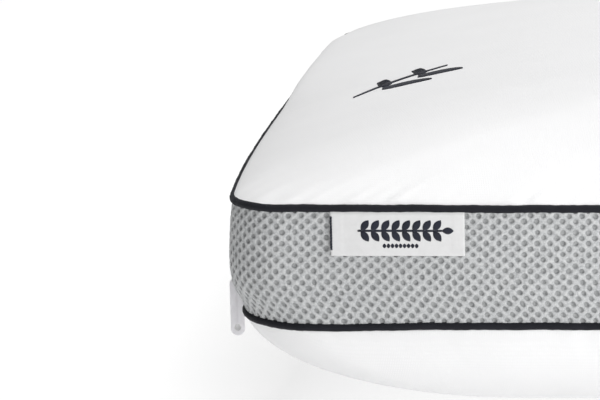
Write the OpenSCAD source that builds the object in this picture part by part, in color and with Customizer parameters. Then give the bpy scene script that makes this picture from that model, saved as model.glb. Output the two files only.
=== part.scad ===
// Boxed foam pillow: a crowned foam core in a knit liner, inside a zip-off cover with a spacer mesh
// border, two piped seams, a zip along one short side and a woven label in the front seam.
// Millimetres. The origin is the centre of the flat patch that the pillow rests on. +X runs along the
// pillow's length, the zip is on the -X side and the label on the -Y side.

/* [Pillow] */
// Length over the border, from the zip side to the plain side
pillow_l = 600; // [450:10:800]
// Depth over the border, from the label side to the back
pillow_w = 400; // [340:10:500]
// Height from seam to seam of the mesh border
border_h = 48; // [44:1:70]
// Rise of the top panel above the upper seam
crown_top = 38; // [30:0.5:60]
// Drop of the bottom panel from the lower seam to the surface it rests on
crown_bottom = 45; // [32:0.5:60]
// Plan radius of the four upright corners
corner_r = 26; // [20:1:60]

/* [Fabric and foam] */
// Thickness of the padded knit panels
panel_t = 2.4; // [1.5:0.1:4]
// Thickness of the spacer mesh
border_t = 4; // [3.5:0.1:4.5]
// Thickness of the inner liner
liner_t = 0.8; // [0.5:0.1:1.5]
// Gap left between the liner and the border on all four sides
side_ease = 3; // [3:0.5:8]
// Gap left between liner and panels, and between liner and foam
ease = 0.4; // [0.3:0.1:1]

/* [Piping] */
// Outer diameter of the piping sleeve
piping_d = 3.2; // [2.6:0.1:4]
// Wall of the sleeve
sleeve_t = 0.6; // [0.4:0.1:0.8]
// How far the piping stands out past the border
piping_proud = 0.4; // [0.2:0.1:0.4]

/* [Zip] */
// Height of the zip's centre line above the lower seam
zip_up = 11.5; // [11:0.5:20]
// Length of the coils between the stops
zip_l = 312; // [200:4:320]
// Length of the slider along the zip
slider_l = 11; // [9:0.5:13]
// Width of the puller
puller_w = 5.8; // [5:0.2:7]
// Drop from the bridge bar to the puller's free end
puller_drop = 28.3; // [20:0.1:34]

/* [Label and motif] */
// Width of the woven label
label_w = 54; // [30:1:90]
// Visible drop of the woven label
label_h = 17; // [12:1:30]
// Distance of the label from the pillow's zip end
label_from_end = 43; // [35:1:200]
// Distance of the motif's centre from the zip end
motif_from_end = 54; // [50:1:150]
// Distance of the motif's centre from the middle of the pillow, towards the label side
motif_forward = 34; // [0:1:100]

/* [Hidden] */

// Heights of the two seams and of the zip
z_low = crown_bottom;
z_up = crown_bottom + border_h;
z_zip = z_low + zip_up;
z_mid = (z_low + z_up) / 2;

// Half sizes of the plan at the border's outer face
hx = pillow_l / 2;
hy = pillow_w / 2;

// Seams: the sleeve's flange lies between two turned-in lips
flange_t = 0.6;
pipe_r = piping_d / 2;
pipe_in = pipe_r - piping_proud;           // how far the piping's centre lies inside the outer face
lip_start = pipe_in + pipe_r;              // the lips begin where the piping ends
lip_end = 6.5;
wall_stop = pipe_r + 0.1;                  // the walls stop this far from a seam's centre line
neck = 1.2;                                // joins a panel's lip to its wall
cord_gap = 0.05;

// Crown shapes: a ring at fraction s of the plan stands at rise * swell(s, shape)
top_shape = [2.7, 1.37];
bottom_shape = [7, 1.63];                  // flatter in the middle, steeper at the seam
spread = 0.5;                              // how round the rings grow towards the middle
flat_cut = 0.9;                            // what the rest patch cuts off the bottom crown
arc_n = 8;                                 // steps in a quarter turn of a ring
ring_n = 9;                                // steps from the seam to the middle
ring_s = [for (j = [0 : ring_n]) 1 - 0.96 * pow(j / ring_n, 2)];

// Zip section, measured outwards from the border's outer face, and up from the zip's centre line
strip_gap = 4.8;
tape_t = 0.6;
tape_w = 12;
coil_in = 0.9;
coil_out = 3.0;
coil_t = 2.0;
lower_tape_w = min(tape_w, zip_up - coil_in - wall_stop);    // trimmed to end above the lower seam's lip
tape_end = 8;                              // tape beyond the coils at each end
chain_y = zip_l / 2;
strip_y = chain_y + tape_end;
stop_l = 2.5;
slider_ease = 0.5;
slider_y = -chain_y + slider_ease + slider_l / 2;
plate_t = 1.4;
plate_r = 1.5;
plate_gap = 0.3;
flange_gap = 0.4;
flange_w = 0.8;
blade_t = 1.0;
blade_l = 2.5;
blade_in = 0.6;                            // the blade stops this far inside the slider's front end
post_t = 1.4;
post_w = 2.4;
post_y = 3.6;
bar_r = 0.8;
eye_gap = 0.1;
bar_out = 3.9;                             // the bridge bar's centre, outside the border's face
puller_t = 1.6;
dimple_r = 1.6;
dimple_up = 3.6;                           // dimple's centre above the puller's free end
dimple_deep = 0.4;
plate_out = -border_t + coil_t + plate_gap;        // underside of the slider's outer plate
plate_in = -border_t - tape_t - plate_gap;         // and of its inner one
half_slider = coil_out + flange_gap + flange_w;
flange_x = -border_t + flange_gap;                 // the flanges start this far clear of the tapes
flange_y = slider_l / 2 - plate_r;

label_t = 0.5;
label_stand = 0.3;                         // gap behind the label
label_under = 0.3;                         // and between its top edge and the piping
label_x = -hx + label_from_end + label_w / 2;
label_top = z_up - pipe_r - label_under;

thread_t = 0.6;
thread_lift = 0.1;
tip = 0.03;                                // share of a stroke's length cut off its pointed ends
stem_l = 50;
stem_w = 2.2;
stem_turn = 42;
stem_bend = 3;
leaf_pairs = 2;
pair_step = [14, 13];                      // from one pair of leaves to the next
pair_shorter = 2;                          // how much shorter each pair is than the one before
motif_x = -hx + motif_from_end;
motif_y = -motif_forward;

// Rounded rectangle of half sizes a by b and corner radius r, as a ring of points
function quarter(cx, cy, r, from) =
    [for (i = [0 : arc_n]) let (t = from + 90 * i / arc_n) [cx + r * cos(t), cy + r * sin(t)]];
function outline(a, b, r) = concat(
    quarter(a - r, b - r, r, 0),
    quarter(r - a, b - r, r, 90),
    quarter(r - a, r - b, r, 180),
    quarter(a - r, r - b, r, 270));
function ring(a, b, r, z) = [for (p = outline(a, b, r)) [p.x, p.y, z]];

// Crown surface set in from the outer face by d: rings from the seam towards the middle
function swell(s, shape) = pow(1 - pow(s, shape[0]), 1 / shape[1]);
function ring_r(s, b, r) = s * (r + (spread * b - r) * sqrt(1 - s));
function crown_ring(s, d, z) = ring(s * (hx - d), s * (hy - d), ring_r(s, hy - d, corner_r - d), z);
function crown(d, z0, rise) = [for (s = ring_s) crown_ring(s, d, z0 + rise * swell(s, top_shape))];
// The bottom crown, hanging below z0 and cut flat at height z_flat
function bowl(d, z0, z_flat) =
    let (drop = z0 - z_flat + flat_cut,
         s_flat = pow(1 - pow((z0 - z_flat) / drop, bottom_shape[1]), 1 / bottom_shape[0]))
    concat([for (s = ring_s) if (s > s_flat + 0.02) crown_ring(s, d, z0 - drop * swell(s, bottom_shape))],
        [crown_ring(s_flat, d, z_flat)]);
function flip(list) = [for (i = [len(list) - 1 : -1 : 0]) list[i]];
function wall_ring(d, z) = ring(hx - d, hy - d, corner_r - d, z);

// Closed skin through a stack of rings, with a flat cap on the first and the last
module ring_stack(rings) {
    n = len(rings[0]);
    m = len(rings);
    polyhedron(
        points = [for (r = rings) each r],
        faces = concat(
            [[for (i = [0 : n - 1]) i]],
            [for (j = [0 : m - 2], i = [0 : n - 1]) let (k = (i + 1) % n)
                [j * n + i, (j + 1) * n + i, (j + 1) * n + k, j * n + k]],
            [[for (i = [0 : n - 1]) m * n - 1 - i]]));
}

// Side q of the border, 0 to 3 from +X round to -Y, carrying a section drawn from its outer face
function reach(q) = (q % 2 == 0 ? hx : hy) - corner_r;
function side_l(q) = 2 * ((q % 2 == 0 ? hy : hx) - corner_r);
module side_run(q, from, to) {
    rotate([0, 0, 90 * q]) translate([reach(q), to, 0]) rotate([90, 0, 0])
        linear_extrude(to - from) translate([corner_r, 0]) children();
}
module side(q) {
    side_run(q, -side_l(q) / 2, side_l(q) / 2) children();
}
module corner(q) {
    rotate([0, 0, 90 * q]) translate([reach(q), side_l(q) / 2, 0])
        rotate_extrude(angle = 90, $fn = 96) translate([corner_r, 0]) children();
}
module all_round() {
    for (q = [0 : 3]) {
        side(q) children();
        corner(q) children();
    }
}

// Sections, drawn with x outwards from the border's outer face and y up
module block(x0, y0, x1, y1) {
    translate([x0, y0]) square([x1 - x0, y1 - y0]);
}
module border_section() {
    block(-border_t, z_low + wall_stop, 0, z_up - wall_stop);
    upper_lip_section();
    lower_lip_section();
}
module upper_lip_section() {
    block(-lip_end, z_up - wall_stop, -lip_start, z_up - flange_t / 2);
}
module lower_lip_section() {
    block(-lip_end, z_low + flange_t / 2, -lip_start, z_low + wall_stop);
}
module sleeve_section(z) {
    difference() {
        union() {
            translate([-pipe_in, z]) circle(r = pipe_r, $fn = 48);
            block(-lip_end, z - flange_t / 2, -pipe_in, z + flange_t / 2);
        }
        translate([-pipe_in, z]) circle(r = pipe_r - sleeve_t, $fn = 48);
    }
}
module cord_section(z) {
    translate([-pipe_in, z]) circle(r = pipe_r - sleeve_t - cord_gap, $fn = 48);
}

// Foam and liner
core_in = border_t + side_ease + liner_t + ease;
core_down = panel_t + ease + liner_t + ease;
liner_in = border_t + side_ease;
liner_down = panel_t + ease;

module foam_core() {
    color("lightyellow") ring_stack(concat(
        flip(bowl(core_in, z_low, core_down)),
        crown(core_in, z_up, crown_top - core_down)));
}
module inner_liner_upper() {
    inner = crown(liner_in + liner_t, z_up, crown_top - liner_down - liner_t);
    outer = crown(liner_in, z_up, crown_top - liner_down);
    color("ivory") ring_stack(concat(
        flip(inner),
        [wall_ring(liner_in + liner_t, z_mid), wall_ring(liner_in, z_mid)],
        outer));
}
module inner_liner_lower() {
    inner = bowl(liner_in + liner_t, z_low, liner_down + liner_t);
    outer = bowl(liner_in, z_low, liner_down);
    color("ivory") ring_stack(concat(
        flip(outer),
        [wall_ring(liner_in, z_mid), wall_ring(liner_in + liner_t, z_mid)],
        inner));
}

// Cover panels, each with a lip turned in under its seam
module top_panel() {
    z_lip = z_up + wall_stop + neck / 2;
    inner_in = lip_start + neck / 2;
    inner = crown(inner_in, z_lip, z_up + crown_top - panel_t - z_lip);
    outer = crown(0, z_up + wall_stop, crown_top - wall_stop);
    color("white") ring_stack(concat(
        flip(inner),
        [wall_ring(lip_end, z_lip), wall_ring(lip_end, z_up + flange_t / 2),
         wall_ring(lip_start, z_up + flange_t / 2), wall_ring(lip_start, z_up + wall_stop)],
        outer));
}
module bottom_panel() {
    z_lip = z_low - wall_stop - neck / 2;
    inner_in = lip_start + neck / 2;
    inner = bowl(inner_in, z_lip, panel_t);
    outer = bowl(0, z_low - wall_stop, 0);
    color("white") ring_stack(concat(
        flip(outer),
        [wall_ring(lip_start, z_low - wall_stop), wall_ring(lip_start, z_low - flange_t / 2),
         wall_ring(lip_end, z_low - flange_t / 2), wall_ring(lip_end, z_lip)],
        inner));
}

// Border: one strip round three sides and four corners, and two on the zip side
module mesh_border() {
    color("lightgray") {
        for (q = [0, 1, 3]) side(q) border_section();
        for (q = [0 : 3]) corner(q) border_section();
        side_run(2, -side_l(2) / 2, -strip_y) border_section();
        side_run(2, strip_y, side_l(2) / 2) border_section();
    }
}
module zip_border_upper() {
    color("lightgray") side_run(2, -strip_y, strip_y) {
        block(-border_t, z_zip + strip_gap, 0, z_up - wall_stop);
        upper_lip_section();
    }
}
module zip_border_lower() {
    color("lightgray") side_run(2, -strip_y, strip_y) {
        block(-border_t, z_low + wall_stop, 0, z_zip - strip_gap);
        lower_lip_section();
    }
}

// Piping
module upper_piping_sleeve() {
    color("midnightblue") all_round() sleeve_section(z_up);
}
module upper_piping_cord() {
    color("dimgray") all_round() cord_section(z_up);
}
module lower_piping_sleeve() {
    color("midnightblue") all_round() sleeve_section(z_low);
}
module lower_piping_cord() {
    color("dimgray") all_round() cord_section(z_low);
}

// Zip: tapes behind the strips, coils on the tapes
module zip_tape_upper() {
    color("gainsboro") side_run(2, -strip_y, strip_y)
        block(-border_t - tape_t, z_zip + coil_in, -border_t, z_zip + coil_in + tape_w);
}
module zip_tape_lower() {
    color("gainsboro") side_run(2, -strip_y, strip_y)
        block(-border_t - tape_t, z_zip - coil_in - lower_tape_w, -border_t, z_zip - coil_in);
}
module zip_coil_upper() {
    color("whitesmoke") side_run(2, -chain_y, chain_y)
        block(-border_t, z_zip + coil_in, -border_t + coil_t, z_zip + coil_out);
}
module zip_coil_lower() {
    color("whitesmoke") side_run(2, -chain_y, chain_y)
        block(-border_t, z_zip - coil_out, -border_t + coil_t, z_zip - coil_in);
}
module zip_top_stops() {
    color("silver") side_run(2, chain_y, chain_y + stop_l) {
        block(-border_t, z_zip + coil_in, -border_t + coil_t, z_zip + coil_out);
        block(-border_t, z_zip - coil_out, -border_t + coil_t, z_zip - coil_in);
    }
}
module zip_bottom_stop() {
    color("silver") side_run(2, -chain_y - stop_l, -chain_y)
        block(-border_t, z_zip - coil_out, -border_t + coil_t, z_zip + coil_out);
}

// Slider and puller, drawn with x outwards from the border's outer face and y towards the label side
module at_slider() {
    translate([-hx, slider_y, z_zip]) rotate([0, 0, 180]) children();
}
// Plate with round corners, lying in y and z, from x0 to x1
module plate(x0, x1, l, w, r) {
    translate([x0, 0, 0]) rotate([90, 0, 90]) linear_extrude(x1 - x0) {
        square([l - 2 * r, w], center = true);
        square([l, w - 2 * r], center = true);
        for (i = [-1, 1], j = [-1, 1])
            translate([i * (l / 2 - r), j * (w / 2 - r)]) circle(r = r, $fn = 32);
    }
}
module zip_slider() {
    color("gainsboro") at_slider() {
        plate(plate_out, plate_out + plate_t, slider_l, 2 * half_slider, plate_r);
        plate(plate_in - plate_t, plate_in, slider_l, 2 * half_slider, plate_r);
        for (j = [-1, 1])
            translate([flange_x, -flange_y, j * (half_slider - flange_w / 2) - flange_w / 2])
                cube([plate_out + plate_t / 2 - flange_x, 2 * flange_y, flange_w]);
        translate([plate_in - plate_t / 2, slider_l / 2 - blade_l - blade_in, -blade_t / 2])
            cube([plate_out - plate_in + plate_t, blade_l, blade_t]);
        for (j = [-1, 1]) {
            translate([plate_out + plate_t / 2, j * post_y - post_t / 2, -post_w / 2])
                cube([bar_out - plate_out - plate_t / 2, post_t, post_w]);
            translate([bar_out, j * post_y, 0]) rotate([90, 0, 0])
                cylinder(r = post_w / 2, h = post_t, center = true, $fn = 48);
        }
        translate([bar_out, 0, 0]) rotate([90, 0, 0])
            cylinder(r = bar_r, h = 2 * post_y, center = true, $fn = 48);
    }
}
module zip_puller() {
    end_z = puller_w / 2 - puller_drop;
    color("whitesmoke") at_slider() translate([bar_out, 0, 0]) rotate([90, 0, 0]) difference() {
        linear_extrude(puller_t, center = true) {
            circle(d = puller_w, $fn = 64);
            translate([-puller_w / 2, end_z]) square([puller_w, -end_z]);
            translate([0, end_z]) circle(d = puller_w, $fn = 64);
        }
        cylinder(r = bar_r + eye_gap, h = 2 * puller_t, center = true, $fn = 48);
        for (j = [-1, 1])
            translate([0, dimple_up - puller_drop, j * puller_t / 2])
                cylinder(r = dimple_r, h = 2 * dimple_deep, center = true, $fn = 48);
    }
}

// Label, hanging from the front seam
module woven_label() {
    color("white") translate([label_x - label_w / 2, -hy - label_stand - label_t, label_top - label_h])
        cube([label_w, label_t, label_h]);
}

// Motif: a bowed stem with two pairs of leaves in raised thread, laid on the crown
function inside(p, s) =
    let (r = ring_r(s, hy, corner_r), q = [abs(p.x) - s * hx + r, abs(p.y) - s * hy + r])
    norm([max(q.x, 0), max(q.y, 0)]) + min(max(q.x, q.y), 0) <= r;
function s_of(p, lo = 0, hi = 1, n = 24) =
    n == 0 ? hi :
    let (mid = (lo + hi) / 2)
    inside(p, mid) ? s_of(p, lo, mid, n - 1) : s_of(p, mid, hi, n - 1);
function crown_z(p) = z_up + wall_stop + (crown_top - wall_stop) * swell(s_of(p), top_shape);
function lerp(a, b, t) = a + (b - a) * t;
// Point on a bowed stroke of length l that starts at p and heads along angle a, t from 0 to 1, side v
function stroke_point(p, a, l, w, bend, t, v) =
    let (u = t * l,
         half = w / 2 * pow(sin(180 * lerp(tip, 1 - tip, t)), 0.8),
         side = bend * sin(180 * t) + v * half)
    [motif_x + p.x + u * cos(a) - side * sin(a), motif_y + p.y + u * sin(a) + side * cos(a)];
module stroke(p, a, l, w, bend) {
    stations = [for (i = [0 : arc_n]) i / arc_n];
    points = [for (t = stations, c = [[-1, 0], [-1, 1], [1, 1], [1, 0]])
        let (q = stroke_point(p, a, l, w, bend, t, c[0]))
        [q.x, q.y, crown_z(q) + thread_lift + c[1] * thread_t]];
    n = len(stations);
    polyhedron(points, concat(
        [[3, 2, 1, 0]],
        [for (i = [0 : n - 2], k = [0 : 3]) let (m = (k + 1) % 4)
            [4 * i + k, 4 * i + m, 4 * i + 4 + m, 4 * i + 4 + k]],
        [[for (k = [0 : 3]) 4 * n - 4 + k]]));
}
module embroidered_motif() {
    color("midnightblue") {
        stroke([-20, -20], stem_turn, stem_l, stem_w, stem_bend);
        for (i = [0 : leaf_pairs - 1]) {
            stroke([-10, -9] + i * pair_step, 86, 15 - pair_shorter * i, 8, -1);
            stroke([-8, -13] + i * pair_step, -2, 21 - pair_shorter * i, 9, 1);
        }
    }
}

foam_core();
inner_liner_upper();
inner_liner_lower();
top_panel();
bottom_panel();
mesh_border();
zip_border_upper();
zip_border_lower();
upper_piping_sleeve();
upper_piping_cord();
lower_piping_sleeve();
lower_piping_cord();
zip_tape_upper();
zip_tape_lower();
zip_coil_upper();
zip_coil_lower();
zip_top_stops();
zip_bottom_stop();
zip_slider();
zip_puller();
woven_label();
embroidered_motif();
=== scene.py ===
import math

import bpy
import numpy as np
from mathutils import Matrix, Vector
from mathutils.bvhtree import BVHTree


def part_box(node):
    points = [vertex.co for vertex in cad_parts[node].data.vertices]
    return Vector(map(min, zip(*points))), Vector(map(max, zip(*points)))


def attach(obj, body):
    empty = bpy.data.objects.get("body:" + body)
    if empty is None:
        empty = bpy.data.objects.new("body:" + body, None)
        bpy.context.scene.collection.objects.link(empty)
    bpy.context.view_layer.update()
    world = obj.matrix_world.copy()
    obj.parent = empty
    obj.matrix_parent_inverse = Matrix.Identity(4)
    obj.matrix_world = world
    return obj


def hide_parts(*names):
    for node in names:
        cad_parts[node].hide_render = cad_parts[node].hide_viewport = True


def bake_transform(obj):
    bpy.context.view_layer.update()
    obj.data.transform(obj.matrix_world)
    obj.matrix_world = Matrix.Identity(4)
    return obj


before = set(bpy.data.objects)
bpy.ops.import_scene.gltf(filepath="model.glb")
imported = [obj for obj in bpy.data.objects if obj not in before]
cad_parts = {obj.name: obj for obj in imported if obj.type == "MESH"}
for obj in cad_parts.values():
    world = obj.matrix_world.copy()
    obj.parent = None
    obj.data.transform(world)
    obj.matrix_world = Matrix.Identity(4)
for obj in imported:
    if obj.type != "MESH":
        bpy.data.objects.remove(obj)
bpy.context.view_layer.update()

# ---------------- sizes, in metres, from the frame
MM = 0.001
X, Z = 0, 2


def mid(node, axis):
    lo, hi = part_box(node)
    return (lo[axis] + hi[axis]) / 2


HALF_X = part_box("mesh_border")[1].x
HALF_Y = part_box("mesh_border")[1].y
Z_LOW = mid("lower_piping_sleeve", Z)
Z_UP = mid("upper_piping_sleeve", Z)
Z_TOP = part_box("top_panel")[1].z
PIPE_R = (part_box("upper_piping_sleeve")[1].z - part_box("upper_piping_sleeve")[0].z) / 2
Z_ZIP = (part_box("zip_coil_upper")[0].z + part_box("zip_coil_lower")[1].z) / 2
STRIP_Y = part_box("zip_border_upper")[1].y
STRIP_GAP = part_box("zip_border_upper")[0].z - Z_ZIP
LABEL_LO, LABEL_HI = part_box("woven_label")

UP_R = 23 * MM              # plan corner radius at the upper seam
LOW_R = 36 * MM             # and at the lower seam, where the corners pull in
UP_IN = 2.0 * MM            # how far the upper seam lies inside the border's end faces
MID_IN = -0.3 * MM          # the same at mid height
LOW_IN = 1.9 * MM           # and at the lower seam
LOW_IN_SIDE = 0.7 * MM      # the lower seam inside the long faces
BOW_UP = 6.7 * MM           # how far the short sides bow out at the upper seam
BOW_LOW = 2.5 * MM          # and at the lower seam, on the side with no zip
BOW_FRONT = 0.6 * MM        # how far the long sides bow out
PIPE_IN = 0.4 * MM          # the piping's centre, inside the outline of its seam
WALL_END = 1.4 * MM         # the border ends this far from a seam's centre line
BULGE_END = 1.2 * MM        # how far the border swells between its seams, on the short sides
BULGE_SIDE = 0.3 * MM       # and on the long ones
TOP_SHAPE = (2.73, 1.37)    # powers of the top crown's outline, as swell() uses them
BOTTOM_SHAPE = (7.0, 1.63)  # and the bottom crown's
SPREAD = 0.45               # corner radius of a crown's innermost rings, by their half width
FLAT_CUT = 0.9 * MM         # how deep the bottom crown would go if it weren't flat where it rests
SEAM_SAG = 1.3 * MM         # how far the lower seam dips towards the corners
SHOULDER = 5.1 * MM         # extra fullness of the crown above the short sides
PANEL_T = 2.4 * MM          # thickness of the padded panels
ZIP_PINCH = 1.85 * MM       # how deep the border sinks at the zip
PINCH_Z = 5 * MM            # and how far above and below the zip that hollow fades
SOFT = 0.22 * MM            # depth of the slow waves in the border
SWAY = 0.25 * MM            # how far its weave wanders up and down
END_BAND = 12 * MM          # a point this near the ends, or nearer, is on a short side

MESH_PITCH = 5.15 * MM      # between holes along a row
MESH_ROW = 2.25 * MM        # between rows, every other row set over by half a pitch
HOLE_R = 1.1 * MM
HOLE_DEEP = 1.0 * MM
HOLE_EDGE = 0.36 * MM       # how far a hole's edge is already sunk
HOLE_TAPER = 0.8            # a hole's floor against its mouth
YARN = 0.05 * MM            # unevenness of the web between the holes

HEM_W = 2.35 * MM           # half the height of the folded hem beside the zip
HEM_Z = STRIP_GAP + HEM_W   # the hem's centre line, from the zip's


# ---------------- small helpers
def smooth(t):
    t = np.clip(t, 0, 1)
    return t * t * (3 - 2 * t)


def lerp(a, b, t):
    return a + (b - a) * t


def ripple(q, cycles, seed):
    """Sum of sines with whole numbers of cycles over q from 0 to 1, about -1 to 1."""
    phases = np.random.default_rng(seed).random(len(cycles))
    waves = [np.sin(2 * np.pi * (c * q + p)) for c, p in zip(cycles, phases)]
    return sum(waves) / math.sqrt(len(cycles))


def unit(v):
    return v / np.maximum(np.linalg.norm(v, axis=-1, keepdims=True), 1e-12)


def mesh_object(name, points, polygons, materials, index=None, flat=False):
    """Object from an (n, 3) array of points and a list of arrays of equal-sided polygons."""
    mesh = bpy.data.meshes.new(name)
    points = np.asarray(points, float).reshape(-1, 3)
    groups = [np.asarray(p, np.int32) for p in polygons if len(p)]
    sizes = np.concatenate([np.full(len(g), g.shape[1]) for g in groups])
    corners = np.concatenate([g.ravel() for g in groups])
    mesh.vertices.add(len(points))
    mesh.vertices.foreach_set("co", points.ravel())
    mesh.loops.add(len(corners))
    mesh.loops.foreach_set("vertex_index", corners)
    mesh.polygons.add(len(sizes))
    mesh.polygons.foreach_set("loop_start", np.concatenate([[0], np.cumsum(sizes)[:-1]]))
    for m in materials:
        mesh.materials.append(m)
    if index is not None:
        mesh.polygons.foreach_set("material_index", np.asarray(index, np.int32))
    mesh.polygons.foreach_set("use_smooth", np.full(len(sizes), not flat))
    mesh.update(calc_edges=True)
    mesh.validate()
    piece = bpy.data.objects.new(name, mesh)
    bpy.context.scene.collection.objects.link(piece)
    return piece


def grid(rows, cols, wrap, start=0):
    """Quads over a grid of points stored row by row; wrap joins the last column to the first."""
    i, j = np.meshgrid(np.arange(rows - 1), np.arange(cols if wrap else cols - 1), indexing="ij")
    k = (j + 1) % cols
    quads = np.stack([i * cols + j, i * cols + k, (i + 1) * cols + k, (i + 1) * cols + j], -1)
    return quads.reshape(-1, 4) + start


def cap(cols, row, start=0, back=False):
    ring = np.arange(cols) + row * cols + start
    return (ring[::-1] if back else ring)[None, :]


def lofted(name, rings, materials, inside_out=False, index=None):
    """Closed form through rings of points, capped at the first and at the last."""
    rows, n = rings.shape[:2]
    faces = grid(rows, n, True)
    caps = np.concatenate([cap(n, 0, back=True), cap(n, rows - 1)])
    if inside_out:
        faces, caps = faces[:, ::-1], caps[:, ::-1]
    return mesh_object(name, rings.reshape(-1, 3), [faces, caps], materials, index)


def add_weave(piece, values):
    """Per-vertex vector that a woven material reads, so that it follows the piece's own length."""
    layer = piece.data.attributes.new("weave", "FLOAT_VECTOR", "POINT")
    layer.data.foreach_set("vector", np.asarray(values, float).ravel())


# ---------------- plan outlines
def outline(a, b, r, bow_left, bow_right, bow_front, n):
    """n points evenly spaced round a bowed rounded rectangle, from the front middle towards -X."""
    t = np.linspace(0, np.pi / 2, 24)
    s, c = np.sin(t), np.cos(t)
    run = np.linspace(0, 1, 40)[1:-1, None]
    turns = [
        np.stack([r - a - r * s, r - b - r * c], -1),
        np.stack([r - a - r * c, b - r + r * s], -1),
        np.stack([a - r + r * s, b - r + r * c], -1),
        np.stack([a - r + r * c, r - b - r * s], -1),
    ]
    points = [np.array([[0, -b]])]
    for k, turn in enumerate(turns):
        last = points[-1][-1]
        points += [last + (turn[0] - last) * run, turn]
    points += [turns[-1][-1] + (points[0][0] - turns[-1][-1]) * run, points[0]]
    p = np.concatenate(points)
    side_x = np.where(p[:, 0] < 0, -bow_left, bow_right)
    bow_x = side_x * (1 - np.abs(p[:, 1] / b) ** 3) * (np.abs(p[:, 0]) / a) ** 6
    bow_y = np.sign(p[:, 1]) * bow_front * (1 - (p[:, 0] / a) ** 2) * (np.abs(p[:, 1]) / b) ** 6
    p = p + np.stack([bow_x, bow_y], -1)
    along = np.concatenate([[0], np.cumsum(np.linalg.norm(np.diff(p, axis=0), axis=1))])
    at = np.arange(n) / n * along[-1]
    return np.stack([np.interp(at, along, p[:, k]) for k in (0, 1)], -1)


def outward(loop):
    d = np.roll(loop, -1, axis=0) - np.roll(loop, 1, axis=0)
    return unit(np.stack([-d[:, 1], d[:, 0]], -1))


ZIP_V = (Z_ZIP - Z_LOW) / (Z_UP - Z_LOW)


def corner_radius(v):
    return lerp(LOW_R, UP_R, float(smooth(v / 0.42)))


def end_inset(v):
    """How far the short sides lie inside the CAD's end faces at height fraction v."""
    lower = lerp(LOW_IN, MID_IN, float(smooth((v - 0.05) / 0.24)))
    return lerp(lower, UP_IN, float(smooth((v - 0.42) / 0.5)))


def left_bow(v):
    """Bow of the zip side: none up to the zip, then more and more up to the upper seam."""
    return BOW_UP * float(smooth((v - ZIP_V - 0.06) / 0.6))


def seam(v, n, inset=0.0):
    """Outline of the cover at height fraction v, 0 at the lower seam and 1 at the upper."""
    v = min(max(v, 0.0), 1.0)
    loop = outline(
        HALF_X - end_inset(v), HALF_Y - LOW_IN_SIDE * (1 - v), corner_radius(v),
        left_bow(v), lerp(BOW_LOW, BOW_UP, v), BOW_FRONT, n)
    return loop - outward(loop) * inset


def seam_sag(x):
    """How far the lower seam dips at x."""
    return SEAM_SAG * smooth((np.abs(x) - 0.6 * HALF_X) / (HALF_X / 3))


# ---------------- materials
def new_node(tree, kind, **inputs):
    node = tree.nodes.new(kind)
    for key, value in inputs.items():
        node.inputs[key.replace("_", " ")].default_value = value
    return node


def coords(tree, attribute=None):
    if attribute is None:
        return tree.nodes.new("ShaderNodeTexCoord").outputs["Object"]
    node = tree.nodes.new("ShaderNodeAttribute")
    node.attribute_name = attribute
    return node.outputs["Vector"]


def noise(tree, where, scale, detail=3.0, rough=0.55):
    node = new_node(tree, "ShaderNodeTexNoise", Scale=scale, Detail=detail, Roughness=rough)
    tree.links.new(where, node.inputs["Vector"])
    return node.outputs["Fac"]


def wave(tree, where, pitch, direction, distortion=0.0):
    """Sine stripes about a pitch apart: Blender's wave has 3.2 stripes to the metre at a scale of 1."""
    node = new_node(tree, "ShaderNodeTexWave", Scale=1 / (pitch * 3.2), Distortion=distortion, Detail=1.0)
    node.bands_direction = direction
    tree.links.new(where, node.inputs["Vector"])
    return node.outputs["Fac"]


def math_node(tree, operation, a, b):
    node = tree.nodes.new("ShaderNodeMath")
    node.operation = operation
    for socket, value in zip(node.inputs, (a, b)):
        if isinstance(value, (int, float)):
            socket.default_value = value
        else:
            tree.links.new(value, socket)
    return node.outputs[0]


def mixed(tree, a, share_a, b, share_b):
    """Sum of two values, each times its share."""
    return math_node(tree, "ADD", math_node(tree, "MULTIPLY", a, share_a),
                     math_node(tree, "MULTIPLY", b, share_b))


def ramp(tree, factor, stops):
    node = tree.nodes.new("ShaderNodeValToRGB")
    for element, (at, colour) in zip(node.color_ramp.elements, (stops[0], stops[-1])):
        element.position = at
        element.color = (*colour, 1)
    for at, colour in stops[1:-1]:
        node.color_ramp.elements.new(at).color = (*colour, 1)
    tree.links.new(factor, node.inputs["Fac"])
    return node.outputs["Color"]


def bump(tree, height, distance, strength=1.0, under=None):
    node = new_node(tree, "ShaderNodeBump", Distance=distance, Strength=strength)
    tree.links.new(height, node.inputs["Height"])
    if under is not None:
        tree.links.new(under, node.inputs["Normal"])
    return node.outputs["Normal"]


def grey(value, tint=(1, 1, 1)):
    return tuple(value * t for t in tint)


def finish_material(name, colour, rough, sheen=0.0, sheen_rough=0.4, specular=0.5, coat=0.0):
    mat = bpy.data.materials.new(name)
    mat.use_nodes = True
    shader = mat.node_tree.nodes["Principled BSDF"]
    values = {
        "Base Color": (*colour, 1), "Roughness": rough, "Sheen Weight": sheen,
        "Sheen Roughness": sheen_rough, "Specular IOR Level": specular, "Coat Weight": coat}
    for socket, value in values.items():
        shader.inputs[socket].default_value = value
    return mat, mat.node_tree, shader


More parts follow.
